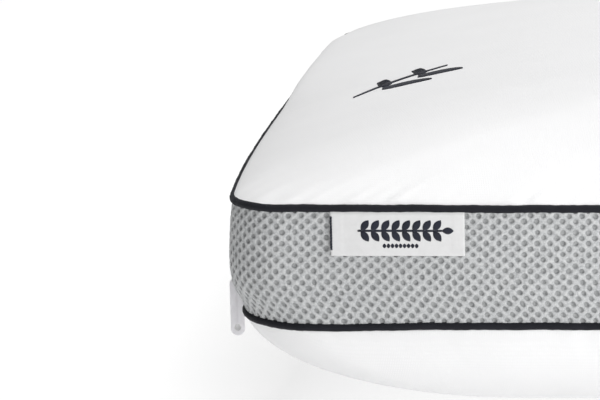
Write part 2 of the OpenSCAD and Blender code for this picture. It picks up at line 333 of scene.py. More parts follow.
def knit_material(name, light, dark, pitch, depth, tint=(1, 1, 1)):
    """Fine jersey: rows of small loops, with a faint cloudy change of tone."""
    mat, tree, shader = finish_material(
        name, grey(light, tint), 0.82, sheen=0.12, sheen_rough=0.35, specular=0.25)
    where = coords(tree)
    wales = wave(tree, where, pitch, "X", 0.4)
    courses = wave(tree, where, pitch * 1.3, "Y", 0.4)
    loops = math_node(tree, "MULTIPLY", wales, courses)
    cloud = noise(tree, where, 28.0, 2.0)
    fuzz = noise(tree, where, 2600.0, 2.0)
    tone = mixed(tree, loops, 0.35, cloud, 0.65)
    tree.links.new(ramp(tree, tone, [(0.2, grey(dark, tint)), (0.75, grey(light, tint))]),
                   shader.inputs["Base Color"])
    coarse = bump(tree, loops, depth, 0.6)
    tree.links.new(bump(tree, fuzz, depth * 0.6, 0.4, coarse), shader.inputs["Normal"])
    return mat


def web_material(name, light, dark):
    """Knitted web of the spacer mesh: pale yarn, with painted highlights on its filaments and painted
    shade in its loops.
    """
    mat, tree, shader = finish_material(name, grey(light), 0.7, sheen=0.15, specular=0.35)
    where = coords(tree)
    yarn = noise(tree, where, 1700.0, 2.0, 0.6)
    loops = noise(tree, where, 620.0, 2.0, 0.6)
    tone = mixed(tree, yarn, 0.5, loops, 0.5)
    # Darkest stop is painted shade in the loops; brightest stop is a painted highlight on the yarn.
    tree.links.new(
        ramp(tree, tone, [(0.36, grey(dark, (0.98, 1, 1.02))), (0.5, grey(light, (0.98, 1, 1.01))),
                          (0.64, grey(min(light * 1.18, 1), (0.99, 1, 1)))]),
        shader.inputs["Base Color"])
    coarse = bump(tree, loops, 0.25 * MM, 0.7)
    tree.links.new(bump(tree, yarn, 0.12 * MM, 0.8, coarse), shader.inputs["Normal"])
    return mat


def twill_material(name, light, dark, pitch, sheen=0.12, rough=0.75):
    """Binding woven on the slant; the "weave" attribute gives length along and around the piece."""
    mat, tree, shader = finish_material(name, light, rough, sheen=sheen, specular=0.2)
    where = coords(tree, "weave")
    rib = wave(tree, where, pitch, "DIAGONAL", 0.6)
    fibre = noise(tree, where, 3200.0, 2.0)
    wear = noise(tree, coords(tree), 130.0, 3.0)
    tone = mixed(tree, rib, 0.5, wear, 0.6)
    tree.links.new(ramp(tree, tone, [(0.25, dark), (0.8, light)]), shader.inputs["Base Color"])
    coarse = bump(tree, rib, 0.12 * MM, 0.8)
    tree.links.new(bump(tree, fibre, 0.06 * MM, 0.6, coarse), shader.inputs["Normal"])
    return mat


def plastic_material(name, light, dark, rough, coat=0.0, subsurface=0.0):
    mat, tree, shader = finish_material(name, light, rough, coat=coat)
    where = coords(tree)
    haze = noise(tree, where, 260.0, 3.0)
    grain = noise(tree, where, 2400.0, 2.0)
    tree.links.new(ramp(tree, haze, [(0.3, dark), (0.7, light)]), shader.inputs["Base Color"])
    tree.links.new(bump(tree, grain, 0.03 * MM, 0.5), shader.inputs["Normal"])
    shader.inputs["Subsurface Weight"].default_value = subsurface
    shader.inputs["Subsurface Radius"].default_value = (0.004, 0.004, 0.004)
    shader.inputs["Subsurface Scale"].default_value = 0.5
    return mat


def satin_material(name, light, dark):
    """Label ribbon: fine warp ribs with a soft shine."""
    mat, tree, shader = finish_material(name, grey(light), 0.5, sheen=0.1, specular=0.4)
    where = coords(tree)
    warp = wave(tree, where, 0.28 * MM, "X")
    weft = wave(tree, where, 0.5 * MM, "Z")
    weave = math_node(tree, "MULTIPLY", warp, weft)
    slub = noise(tree, where, 400.0, 2.0)
    tone = mixed(tree, weave, 0.4, slub, 0.6)
    tree.links.new(ramp(tree, tone, [(0.2, grey(dark)), (0.7, grey(light, (1, 1, 1.005)))]),
                   shader.inputs["Base Color"])
    tree.links.new(bump(tree, weave, 0.05 * MM, 0.6), shader.inputs["Normal"])
    return mat


def foam_material(name):
    """Open-cell foam: cream, with pinholes."""
    mat, tree, shader = finish_material(name, (0.86, 0.80, 0.58), 0.9, specular=0.2)
    where = coords(tree)
    cells = new_node(tree, "ShaderNodeTexVoronoi", Scale=700.0)
    tree.links.new(where, cells.inputs["Vector"])
    depth = cells.outputs["Distance"]
    tree.links.new(ramp(tree, depth, [(0.1, (0.6, 0.53, 0.34)), (0.5, (0.88, 0.83, 0.62))]),
                   shader.inputs["Base Color"])
    tree.links.new(bump(tree, depth, 0.3 * MM, 0.7), shader.inputs["Normal"])
    return mat


COVER = knit_material("cover_knit", 0.895, 0.855, 0.7 * MM, 0.08 * MM, (0.995, 0.995, 1))
LINER = knit_material("liner_knit", 0.86, 0.78, 1.1 * MM, 0.15 * MM, (1, 1, 0.97))
WEB = web_material("mesh_web", 0.54, 0.395)
# Darker copy of the web for the holes' walls and floors: painted shade in the holes.
HOLE_SHADE = web_material("mesh_hole_painted_shade", 0.405, 0.28)
PIPING = twill_material(
    "piping_binding", (0.018, 0.019, 0.025), (0.005, 0.005, 0.008), 0.45 * MM, sheen=0.06)
CORD = twill_material("filler_cord", (0.62, 0.60, 0.54), (0.42, 0.40, 0.35), 0.9 * MM)
TAPE = twill_material("zip_tape", (0.66, 0.66, 0.67), (0.5, 0.5, 0.51), 0.5 * MM, sheen=0.1)
HEM = twill_material("zip_hem", (0.60, 0.61, 0.62), (0.42, 0.43, 0.44), 0.6 * MM, sheen=0.15)
COIL = plastic_material("zip_coil", (0.80, 0.80, 0.81), (0.72, 0.72, 0.73), 0.35, coat=0.1)
STOP = plastic_material("zip_stop", (0.74, 0.74, 0.75), (0.66, 0.66, 0.67), 0.4)
SLIDER = plastic_material("slider_lacquer", (0.66, 0.66, 0.67), (0.60, 0.60, 0.61), 0.3, coat=0.3)
PULLER = plastic_material(
    "puller_plastic", (0.90, 0.89, 0.92), (0.84, 0.83, 0.86), 0.38, subsurface=0.25)
# Darker plastic for the thumb dimples: painted shade in the recess.
DIMPLE_SHADE = plastic_material(
    "puller_dimple_painted_shade", (0.68, 0.68, 0.68), (0.62, 0.62, 0.62), 0.5, subsurface=0.25)
SATIN = satin_material("label_satin", 0.78, 0.71)
THREAD = twill_material(
    "navy_thread", (0.022, 0.026, 0.045), (0.008, 0.009, 0.016), 0.3 * MM, sheen=0.3, rough=0.45)
FOAM = foam_material("memory_foam")


# ---------------- border wall as a surface
WALL_Q = 2400
WALL_V = np.concatenate([[-0.07, -0.035], np.linspace(0, 1, 49), [1.035, 1.07]])


def wall_grid():
    """Points and normals of the border, by height fraction and by share of the way round."""
    low, high = Z_LOW + WALL_END, Z_UP - WALL_END
    rows = []
    q = np.arange(WALL_Q) / WALL_Q
    for v in WALL_V:
        z = lerp(low, high, v)
        loop = seam((z - Z_LOW) / (Z_UP - Z_LOW), WALL_Q)
        facing = outward(loop)
        inside = np.clip(v, 0, 1)
        bulge = lerp(BULGE_SIDE, BULGE_END, facing[:, 0] ** 2) * (1 - (2 * inside - 1) ** 4)
        tuck = np.maximum(0, np.maximum(-v, v - 1)) * 10 * MM
        soft = SOFT * ripple(q + 0.03 * v, (7, 13, 23, 41), 5) * np.sin(np.pi * inside)
        near_zip = smooth((STRIP_Y + 6 * MM - np.abs(loop[:, 1])) / (12 * MM)) * (loop[:, 0] < 0)
        pinch = ZIP_PINCH * np.exp(-((z - Z_ZIP) / PINCH_Z) ** 2) * near_zip
        flat = loop + facing * (bulge - tuck + soft - pinch)[:, None]
        height = z + SWAY * ripple(q, (9, 17, 31), 8) - seam_sag(flat[:, 0]) * (1 - inside) ** 2
        rows.append(np.concatenate([flat, height[:, None]], 1))
    points = np.array(rows)
    du = np.roll(points, -1, axis=1) - np.roll(points, 1, axis=1)
    dv = np.gradient(points, axis=0)
    return points, unit(np.cross(dv, du))


WALL_P, WALL_N = wall_grid()
MID_ROW = WALL_P[len(WALL_V) // 2]
WALL_LENGTH = float(np.linalg.norm(np.diff(np.vstack([MID_ROW, MID_ROW[:1]]), axis=0), axis=1).sum())
WALL_HEIGHT = Z_UP - Z_LOW - 2 * WALL_END


def on_wall(q, v, lift=0.0):
    """Point of the border at share q of the way round and height fraction v, lifted outwards."""
    q, v = np.broadcast_arrays(np.asarray(q, float), np.asarray(v, float))
    row = np.interp(v, WALL_V, np.arange(len(WALL_V)))
    i = np.clip(row.astype(int), 0, len(WALL_V) - 2)
    s = (row - i)[..., None]
    col = (q % 1.0) * WALL_Q
    j = np.floor(col).astype(int) % WALL_Q
    k = (j + 1) % WALL_Q
    t = (col - np.floor(col))[..., None]

    def mix(a):
        return (a[i, j] * (1 - t) + a[i, k] * t) * (1 - s) + (a[i + 1, j] * (1 - t) + a[i + 1, k] * t) * s

    return mix(WALL_P) + unit(mix(WALL_N)) * np.asarray(lift)[..., None]


# ---------------- spacer mesh
def mesh_lattice():
    """Centres of the mesh's holes: share of the way round, and height fraction."""
    cols = round(WALL_LENGTH / MESH_PITCH)
    count = round(WALL_HEIGHT / MESH_ROW)
    step = 1 / count
    centres = [
        ((i + 0.5 * (j % 2)) / cols, (j + 0.35) * step)
        for j in range(-1, count + 1) for i in range(cols)]
    return np.array(centres), 1 / cols, step


def mesh_piece(name, centres, pitch, step, sides, seed):
    """Web of diamond cells, each with a round hole sunk in it, joined edge to edge."""
    rng = np.random.default_rng(seed)
    edge = np.linspace(0, 1, sides // 4, endpoint=False)[:, None]
    tips = np.array([[0.5, 0], [0, 1], [-0.5, 0], [0, -1]])
    rim = np.concatenate([tips[k] + (tips[(k + 1) % 4] - tips[k]) * edge for k in range(4)])
    angle = 2 * np.pi * np.arange(sides) / sides
    circle = np.stack([np.cos(angle), np.sin(angle)], -1)
    wide = np.array([pitch, step])
    per_metre = np.array([1 / WALL_LENGTH, 1 / WALL_HEIGHT])
    n = len(centres)
    c = centres + rng.normal(0, 0.09 * MM, (n, 2)) * per_metre
    size = 1 + rng.normal(0, 0.05, (n, 1, 1))
    stretch = 1 + rng.normal(0, 0.05, (n, 1, 2))
    outer = centres[:, None] + rim * wide
    hole = c[:, None] + circle * HOLE_R * size * stretch * per_metre
    floor = c[:, None] + circle * HOLE_R * HOLE_TAPER * size * per_metre
    lip = lerp(outer, hole, 0.72)
    key = np.round(outer.reshape(-1, 2) / (wide * 0.02)).astype(np.int64)
    _, first, back = np.unique(key, axis=0, return_index=True, return_inverse=True)
    shared = outer.reshape(-1, 2)[first]
    lumps = rng.normal(0, YARN, len(shared))
    parts = [on_wall(shared[:, 0], shared[:, 1], lumps)]
    flat = np.ones((n, sides))
    lifts = (rng.normal(0.02 * MM, YARN, (n, sides)), -HOLE_EDGE * flat, -HOLE_DEEP * flat)
    for ring, lift in zip((lip, hole, floor), lifts):
        parts.append(on_wall(ring[..., 0], ring[..., 1], lift).reshape(-1, 3))
    base = len(shared)
    rings = [back.reshape(n, sides)]
    rings += [base + k * n * sides + np.arange(n * sides).reshape(n, sides) for k in range(3)]
    quads = [
        np.stack([a, np.roll(a, -1, 1), np.roll(b, -1, 1), b], -1).reshape(-1, 4)
        for a, b in zip(rings, rings[1:])
    ]
    # The holes' walls and floors take the darker copy of the web: painted shade in the holes.
    index = np.concatenate([np.zeros(len(quads[0]) * 2), np.ones(len(quads[2])), np.ones(n)])
    return mesh_object(name, np.concatenate(parts), [np.concatenate(quads), rings[3]], [WEB, HOLE_SHADE], index)


def spacer_mesh():
    centres, pitch, step = mesh_lattice()
    x, y, z = on_wall(centres[:, 0], centres[:, 1]).T
    short_side = np.abs(x) > HALF_X - END_BAND
    beside_zip = (x < 0) & short_side & (np.abs(y) < STRIP_Y + 1 * MM)
    ends = ~beside_zip & short_side
    side = ~short_side
    third = HALF_X / 3
    thirds = {"zip_end": x < -third, "middle": np.abs(x) <= third, "plain_end": x > third}
    groups = {
        f"mesh_{face}_{k}": side & here & part
        for face, here in (("front", y < 0), ("back", y > 0)) for k, part in thirds.items()}
    groups["mesh_end_plain"] = ends & (x > 0)
    groups["mesh_corner_zip_front"] = ends & (x < 0) & (y < 0)
    groups["mesh_corner_zip_back"] = ends & (x < 0) & (y > 0)
    from_zip = np.hypot(np.maximum(np.abs(y) - (STRIP_Y - HEM_Z), 0), z - Z_ZIP)
    outside = beside_zip & (from_zip > STRIP_GAP + MESH_ROW)
    groups["mesh_above_zip"] = outside & (z > Z_ZIP)
    groups["mesh_below_zip"] = outside & (z < Z_ZIP)
    stands_for = {"mesh_above_zip": "zip_border_upper", "mesh_below_zip": "zip_border_lower"}
    for k, (name, chosen) in enumerate(groups.items()):
        near = name in ("mesh_front_zip_end", "mesh_corner_zip_front", "mesh_above_zip", "mesh_below_zip")
        piece = mesh_piece(name, centres[chosen], pitch, step, 12 if near else 8, 100 + k)
        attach(piece, "pillow")
        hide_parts(stands_for.get(name, "mesh_border"))


# ---------------- crowned panels
def swell(s, shape):
    return np.clip(1 - s ** shape[0], 0, 1) ** (1 / shape[1])


def crown_ring(s, v, inset, n):
    """Ring of a crowned panel at fraction s of the plan, over the seam at height fraction v."""
    a = HALF_X - end_inset(v) - inset
    b = HALF_Y - LOW_IN_SIDE * (1 - v) - inset
    r = corner_radius(v) - inset
    radius = s * (r + (SPREAD * b - r) * math.sqrt(1 - s))
    left, right, front = np.array([left_bow(v), lerp(BOW_LOW, BOW_UP, v), BOW_FRONT]) * s ** 6
    return outline(s * a, s * b, max(radius, 0.2 * MM), left, right, front, n)


def crown(v, shape, z0, rise, inset, n, steps):
    """Rings of a panel from its seam to its middle, as an array of steps by n points."""
    rings = []
    for j in range(steps):
        s = 1 - 0.995 * (j / (steps - 1)) ** 2
        ring = crown_ring(s, v, inset, n)
        rings.append(np.concatenate([ring, np.full((n, 1), z0 + rise * float(swell(s, shape)))], 1))
    return np.array(rings)


def grid_normals(points, up):
    du = np.roll(points, -1, axis=1) - np.roll(points, 1, axis=1)
    dv = np.gradient(points, axis=0)
    normal = unit(np.cross(dv, du))
    return normal * np.sign(np.sum(normal[..., 2]) * up)


def gathers(points, seed, depth):
    """Small tucks that the seam draws into a panel, and long shallow folds, both fading inwards."""
    n = points.shape[1]
    q = np.arange(n) / n
    step = np.linalg.norm(np.diff(points, axis=0), axis=2).mean(axis=1)
    along = np.concatenate([[0], np.cumsum(step)])[:, None]
    fine = ripple(q, (97, 131, 173, 211, 239), seed)
    clusters = 0.35 + 0.65 * smooth(0.5 + 0.9 * ripple(q, (5, 9, 14), seed + 1))
    long_folds = ripple(q, (23, 37, 53), seed + 2)
    near = np.exp(-along / (7 * MM)) * smooth(along / (4 * MM))
    far = np.exp(-along / (28 * MM)) * smooth(along / (4 * MM))
    return depth * (fine * clusters * near + 0.3 * long_folds * far)


def off_seam(points):
    """0 at a panel's seam, 1 from its 20th ring inwards."""
    return np.minimum(1, np.arange(len(points))[:, None] / 20)


def dapple(points, seed, depth):
    """Slow rise and fall of padded cloth over its whole area."""
    rng = np.random.default_rng(seed)
    total = 0
    for length in (0.31, 0.22, 0.13, 0.09):
        turn = rng.random() * 2 * np.pi
        across = points[..., 0] * math.cos(turn) + points[..., 1] * math.sin(turn)
        total = total + length * np.sin(2 * np.pi * across / length + rng.random() * 6)
    return depth * total / 0.4


def panel(name, node, outer, inner, up):
    """Closed panel from its outer rings and its inner ones, both running from the seam inwards."""
    last = outer[-1:]
    middle = last.mean(axis=1, keepdims=True)
    rings = np.concatenate([inner[::-1], outer, middle + (last - middle) * 0.02])
    piece = lofted(name, rings, [COVER], inside_out=up < 0)
    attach(piece, "pillow")
    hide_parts(node)
    return piece


PANEL_N = 960
RIM = 1.15 * MM             # the panel's edge, above or below the seam's centre line
RIM_IN = 0.5 * MM           # and inside the seam's outline


def top_surface(n=PANEL_N, steps=64, inset=0.0, down=0.0):
    z0 = Z_UP + RIM
    return crown(1.0, TOP_SHAPE, z0, Z_TOP - down - z0, inset + RIM_IN, n, steps)


def bottom_surface(n=PANEL_N, steps=64, inset=0.0, down=0.0):
    z0 = Z_LOW - RIM
    rings = crown(0.0, BOTTOM_SHAPE, z0, -(z0 + FLAT_CUT - down), inset + RIM_IN, n, steps)
    rings[..., 2] -= seam_sag(rings[..., 0]) * (rings[..., 2] / z0) ** 2
    rings[..., 2] = np.maximum(rings[..., 2], down)
    return rings


def on_short_side(points):
    """1 where a panel's seam runs along a short side, 0 where it runs along a long one."""
    return smooth((np.abs(points[0, :, 0]) - HALF_X + 24 * MM) / (18 * MM))


def shoulder(points):
    """Extra height of the top panel above its short sides, fullest towards the back."""
    away = np.linalg.norm(points[..., :2] - points[0, :, :2], axis=-1)
    y = points[0, :, 1]
    at_back = smooth((y + 20 * MM) / (60 * MM)) * smooth((HALF_Y - 20 * MM - y) / (60 * MM))
    share = on_short_side(points) * at_back
    return SHOULDER * share * (1 - np.exp(-away / (1.5 * MM))) * np.exp(-away / (40 * MM))


def top_panel():
    points = top_surface()
    points[..., 2] += shoulder(points)
    normal = grid_normals(points, 1)
    calm = 1 - 0.75 * on_short_side(points)
    lift = gathers(points, 21, 0.8 * MM) * calm + dapple(points, 3, 0.35 * MM) * off_seam(points)
    outer = points + normal * lift[..., None]
    inner = top_surface(steps=12, inset=PANEL_T, down=PANEL_T)
    return panel("top_panel_cover", "top_panel", outer, inner, 1)


def bottom_panel():
    points = bottom_surface()
    normal = grid_normals(points, -1)
    clear = smooth(points[..., 2] / (6 * MM))
    lift = gathers(points, 31, 0.4 * MM) + dapple(points, 4, 0.3 * MM) * off_seam(points)
    outer = points + normal * (lift * clear)[..., None]
    outer[..., 2] = np.maximum(outer[..., 2], 0)
    inner = bottom_surface(steps=12, inset=PANEL_T, down=PANEL_T)
    panel("bottom_panel_cover", "bottom_panel", outer, inner, -1)


# ---------------- foam and liner
INNER_N, INNER_RINGS = 240, 26
FOAM_IN, FOAM_DOWN = 8.4 * MM, 4.4 * MM     # the foam's distance inside the cover, level and upright
LINER_IN, LINER_DOWN = 7.0 * MM, 2.9 * MM   # and its liner's
LINER_T = 0.8 * MM


def inside_rings(inset, down, half):
    """Rings of the foam or liner, set in from the cover; half is upper, lower or both."""
    low = bottom_surface(INNER_N, INNER_RINGS, inset, down)[::-1]
    high = top_surface(INNER_N, INNER_RINGS, inset, down)
    wall = []
    for v in np.linspace(0.06, 0.94, 9):
        loop = seam(v, INNER_N, inset)
        wall.append(np.concatenate([loop, np.full((INNER_N, 1), lerp(Z_LOW, Z_UP, v))], 1))
    wall = np.array(wall)
    if half == "upper":
        return np.concatenate([wall[4:], high])
    if half == "lower":
        return np.concatenate([low, wall[:5]])
    return np.concatenate([low, wall, high])


def stuffing():
    foam = lofted("memory_foam_core", inside_rings(FOAM_IN, FOAM_DOWN, "both"), [FOAM])
    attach(foam, "pillow")
    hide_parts("foam_core")
    for half in ("upper", "lower"):
        outer = inside_rings(LINER_IN, LINER_DOWN, half)
        inner = inside_rings(LINER_IN + LINER_T, LINER_DOWN + LINER_T, half)
        rings = np.concatenate([inner[::-1], outer] if half == "upper" else [outer, inner[::-1]])
        sock = lofted(f"liner_sock_{half}", rings, [LINER])
        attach(sock, "pillow")
        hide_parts(f"inner_liner_{half}")


# ---------------- tubes along a path
def across_and_above(tangent, up):
    """Unit vectors square to a path, the second as near to up as it can be."""
    across = unit(np.cross(tangent, np.asarray(up, float)))
    return across, np.cross(across, tangent)


def tube(name, path, radius, sides, material, closed=False, squash=(1.0, 1.0), up=(0, 0, 1),
         lumps=None, square=1.0):
    """Tube along a path; squash scales it along and across up, and square below 1 makes it boxy."""
    path = np.asarray(path, float)
    n = len(path)
    if closed:
        tangent = unit(np.roll(path, -1, axis=0) - np.roll(path, 1, axis=0))
    else:
        tangent = unit(np.gradient(path, axis=0))
    across, above = across_and_above(tangent, up)
    angle = 2 * np.pi * (np.arange(sides) + 0.5) / sides
    sin = np.sign(np.sin(angle)) * np.abs(np.sin(angle)) ** square
    cos = np.sign(np.cos(angle)) * np.abs(np.cos(angle)) ** square
    size = radius * (1 if lumps is None else lumps[:, None, None])
    high, wide = (sin * squash[0])[None, :, None], (cos * squash[1])[None, :, None]
    rings = path[:, None] + size * (above[:, None] * high + across[:, None] * wide)
    polygons = [grid(n, sides, True)]
    if closed:
        last, first = np.arange(sides) + (n - 1) * sides, np.arange(sides)
        polygons.append(np.stack([last, np.roll(last, -1), np.roll(first, -1), first], -1))
    else:
        polygons.append(np.concatenate([cap(sides, 0, back=True), cap(sides, n - 1)]))
    piece = mesh_object(name, rings.reshape(-1, 3), polygons, [material])
    step = np.linalg.norm(np.diff(path, axis=0), axis=1)
    weave = np.zeros((n, sides, 3))
    weave[..., 0] = np.concatenate([[0], np.cumsum(step)])[:, None]
    weave[..., 1] = angle * radius
    add_weave(piece, weave)
    return piece


def threads(name, paths, radius, material, sides=5):
    """One object of many short round threads, each given as a row of points."""
    parts, quads, ends, weaves = [], [], [], []
    start = 0
    angle = 2 * np.pi * np.arange(sides) / sides
    for path, up in paths:
        path = np.asarray(path, float)
        n = len(path)
        across, above = across_and_above(unit(np.gradient(path, axis=0)), up)
        taper = np.sin(np.linspace(0.12, 0.88, n) * np.pi)[:, None, None] ** 0.3
        parts.append((path[:, None] + radius * taper * (
            above[:, None] * np.sin(angle)[None, :, None]
            + across[:, None] * np.cos(angle)[None, :, None])).reshape(-1, 3))
        quads.append(grid(n, sides, True, start))
        ends += [cap(sides, 0, start, back=True), cap(sides, n - 1, start)]
        weave = np.zeros((n, sides, 3))
        weave[..., 0] = np.linspace(0, np.linalg.norm(path[-1] - path[0]), n)[:, None]
        weave[..., 1] = angle * radius
        weaves.append(weave.reshape(-1, 3))
        start += n * sides
    faces = [np.concatenate(quads), np.concatenate(ends)]
    piece = mesh_object(name, np.concatenate(parts), faces, [material])
    add_weave(piece, np.concatenate(weaves))
    return piece


def slab(name, front, back, material):
    """Closed sheet from two grids of points, rows by columns, joined round their edges."""
    rows, cols = front.shape[:2]
    index = np.arange(rows * cols).reshape(rows, cols)
    rim = np.concatenate([index[0, :-1], index[:-1, -1], index[-1, :0:-1], index[:0:-1, 0]])
    after = np.roll(rim, -1)
    far = rows * cols
    faces = np.concatenate([
        grid(rows, cols, False), grid(rows, cols, False, far)[:, ::-1],
        np.stack([after, rim, rim + far, after + far], -1)])
    points = np.concatenate([front.reshape(-1, 3), back.reshape(-1, 3)])
    return mesh_object(name, points, [faces], [material])


def piping(which):
    v, z, seed = (1.0, Z_UP, 41) if which == "upper" else (0.0, Z_LOW, 43)
    n = 1600
    q = np.arange(n) / n
    loop = seam(v, n, PIPE_IN)
    sway = 0.15 * MM * ripple(q, (11, 19, 37, 83), seed)
    sag = 0 if which == "upper" else seam_sag(loop[:, 0])
    path = np.concatenate([loop, (z + sway - sag)[:, None]], 1)
    lumps = 1 + 0.035 * ripple(q, (151, 263, 397, 449), seed + 1)
    sleeve = tube(f"{which}_piping_binding", path, PIPE_R, 14, PIPING, True, lumps=lumps)
    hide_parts(f"{which}_piping_sleeve")
    cord = tube(f"{which}_piping_filler", path, PIPE_R * 0.58, 8, CORD, True)
    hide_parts(f"{which}_piping_cord")
    for piece in (sleeve, cord):
        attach(piece, "pillow")


# ---------------- zip
def zip_wall_x(y, z):
    """X of the border's outer face on the zip side at (y, z)."""
    v = (z - Z_LOW - WALL_END) / WALL_HEIGHT
    row = WALL_P[int(np.argmin(np.abs(WALL_V - np.clip(v, 0, 1))))]
    row = row[(row[:, 0] < 0) & (np.abs(row[:, 1]) < HALF_Y - 10 * MM)]
    order = np.argsort(row[:, 1])
    return np.interp(y, row[order, 1], row[order, 0])


def window_path(reach_z, reach_y, n_side=160, n_end=14):
    """Closed path round the zip's window, as y and z."""
    t = np.linspace(-np.pi / 2, np.pi / 2, n_end)
    run = np.linspace(-reach_y, reach_y, n_side)[1:-1]
    y = np.concatenate([run, reach_y + reach_z * np.cos(t), run[::-1], -reach_y - reach_z * np.cos(t)])
    z = np.concatenate([np.full(len(run), -reach_z), reach_z * np.sin(t), np.full(len(run), reach_z),
                        -reach_z * np.sin(t)])
    return y, Z_ZIP + z


def stitches(name, y, z, lift, long, gap, material):
    """Row of stitches along a path that lies on the zip side of the border."""
    along = np.concatenate([[0], np.cumsum(np.hypot(np.diff(y), np.diff(z)))])
    runs = []
    for start in np.arange(0, along[-1] - long, long + gap):
        at = start + np.linspace(0, long, 5)
        py, pz = np.interp(at, along, y), np.interp(at, along, z)
        px = np.array([zip_wall_x(a, b) for a, b in zip(py, pz)])
        arch = lift * np.array([-0.2, 0.75, 1, 0.75, -0.2])
        runs.append((np.stack([px - arch, py, pz], -1), (-1, 0, 0)))
    return threads(name, runs, 0.2 * MM, material)


def zip_window():
    """Folded hem round the zip's opening, with a row of stitches outside it."""
    y, z = window_path(HEM_Z, STRIP_Y - HEM_Z)
    x = np.array([zip_wall_x(a, b) for a, b in zip(y, z)])
    hem = tube("zip_window_hem", np.stack([x, y, z], -1), HEM_W, 16, HEM, closed=True,
               squash=(0.38, 1.0), up=(-1, 0, 0), square=0.7)
    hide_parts("zip_border_upper", "zip_border_lower")
    y, z = window_path(HEM_Z + 0.9 * MM, STRIP_Y - HEM_Z)
    seams = stitches("zip_window_stitching", y, z, 0.98 * MM, 1.9 * MM, 0.7 * MM, TAPE)
    for piece in (hem, seams):
        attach(piece, "pillow")


def zip_tape(which):
    lo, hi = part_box(f"zip_tape_{which}")
    n = 120
    wavy = 0.06 * MM * ripple(np.linspace(0, 1, n), (9, 15, 22), 60)
    middle_x, middle_z = (lo.x + hi.x) / 2, (lo.z + hi.z) / 2
    path = np.stack([middle_x + wavy, np.linspace(lo.y, hi.y, n), np.full(n, middle_z)], -1)
    tape = tube(f"zip_tape_woven_{which}", path, (hi.z - lo.z) / 2, 20, TAPE,
                squash=((hi.x - lo.x) / (hi.z - lo.z), 1.0), up=(-1, 0, 0), square=0.35)
    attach(tape, "pillow")
    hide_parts(f"zip_tape_{which}")


def zip_coil(which, sign):
    """Wound coil of one side, and the thread that sews it to its tape; sign is 1 above the zip."""
    lo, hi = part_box(f"zip_coil_{which}")
    wire, tooth = 0.27 * MM, 1.4 * MM
    turns = round((hi.y - lo.y - 2 * wire) / tooth)
    turn = 2 * np.pi * np.arange(turns * 10 + 1) / 10
    head, tail = -0.35 * MM, STRIP_GAP - 1.8 * MM
    reach = (tail - head) / 2 - wire
    phase = 0 if sign > 0 else np.pi
    path = np.stack([
        (lo.x + hi.x) / 2 - ((hi.x - lo.x) / 2 - wire) * np.cos(turn + phase),
        lo.y + wire + (hi.y - lo.y - 2 * wire) * turn / turn[-1],
        Z_ZIP + sign * ((head + tail) / 2 + reach * np.sin(turn + phase))], -1)
    coil = tube(f"zip_coil_wound_{which}", path, wire, 6, COIL, up=(0, 1, 0))
    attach(coil, "pillow")
    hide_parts(f"zip_coil_{which}")
    runs = []
    arch = np.array([-0.1, 0.12, 0.16, 0.12, -0.1]) * MM
    for start in np.arange(lo.y + 1 * MM, hi.y - 1 * MM, 2.1 * MM):
        z = np.full(5, Z_ZIP + sign * (STRIP_GAP - 1.1 * MM))
        runs.append((np.stack([lo.x - arch, start + np.linspace(0, 1.4 * MM, 5), z], -1), (-1, 0, 0)))
    sewn = threads(f"zip_coil_stitching_{which}", runs, 0.16 * MM, COIL)
    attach(sewn, "pillow")


def zip_fastener():
    zip_window()
    for which, sign in (("upper", 1), ("lower", -1)):
        zip_tape(which)
        zip_coil(which, sign)


def zip_puller():
    """Moulded tag with rounded edges and a thumb dimple on both faces of its free end."""
    lo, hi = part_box("zip_puller")
    half_w, half_t = (hi.x - lo.x) / 2, (hi.y - lo.y) / 2
    centre_x, centre_y = (lo.x + hi.x) / 2, (lo.y + hi.y) / 2
    top, end = hi.z - half_w, lo.z + half_w
    dimple_z, dimple_r, dimple_deep = lo.z + 3.6 * MM, 1.6 * MM, 0.42 * MM
    bevel, straight = 0.5 * MM, 60
    neck_long, neck_fade = 9 * MM, 3 * MM
    t = np.linspace(0, np.pi, 33)
    run = np.linspace(0, 1, straight + 2)[1:-1]
    flat = np.ones(straight)
    ring_x = np.concatenate([np.cos(t), -flat, -np.cos(t), flat])
    ring_z = np.concatenate([top + 0 * t, lerp(top, end, run), end + 0 * t, lerp(end, top, run)])
    bulge_z = np.concatenate([np.sin(t), 0 * flat, -np.sin(t), 0 * flat])
    neck = lerp(1.0, 0.5, smooth((ring_z - (hi.z - neck_long)) / neck_fade))
    rounding = bevel * (1 - np.cos(np.linspace(0, np.pi / 2, 7)))
    depths = np.concatenate([rounding, np.linspace(bevel, half_w - 0.05 * MM, 16)[1:]])
    rings = []
    for side, order in ((1, depths[::-1]), (-1, depths[1:])):
        for d in order:
            x = (half_w - d) * ring_x * neck
            z = ring_z + (half_w - d) * bulge_z
            edge = np.sqrt(np.clip(1 - (1 - min(d / bevel, 1)) ** 2, 0, 1))
            cup = dimple_deep * smooth((dimple_r - np.hypot(x, z - dimple_z)) / (0.7 * MM))
            thick = (half_t - bevel) + bevel * edge - cup
            rings.append(np.stack([centre_x + x, centre_y + side * thick, z], -1))
    rings = np.array(rings)
    middle = rings.reshape(-1, 3)[grid(*rings.shape[:2], True)].mean(axis=1)
    # Faces inside the dimple take the darker plastic: painted shade in the recess.
    cupped = np.hypot(middle[:, 0] - centre_x, middle[:, 2] - dimple_z) < dimple_r - 0.2 * MM
    tag = lofted("puller_tag", rings, [PULLER, DIMPLE_SHADE], index=np.concatenate([cupped.astype(int), [0, 0]]))
    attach(tag, "puller")
    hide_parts("zip_puller")


# ---------------- label
LABEL_W = LABEL_HI.x - LABEL_LO.x
LABEL_H = LABEL_HI.z - LABEL_LO.z
LABEL_T = 0.35 * MM
LABEL_TUCK = 1.3 * MM       # how far the ribbon runs up behind the piping


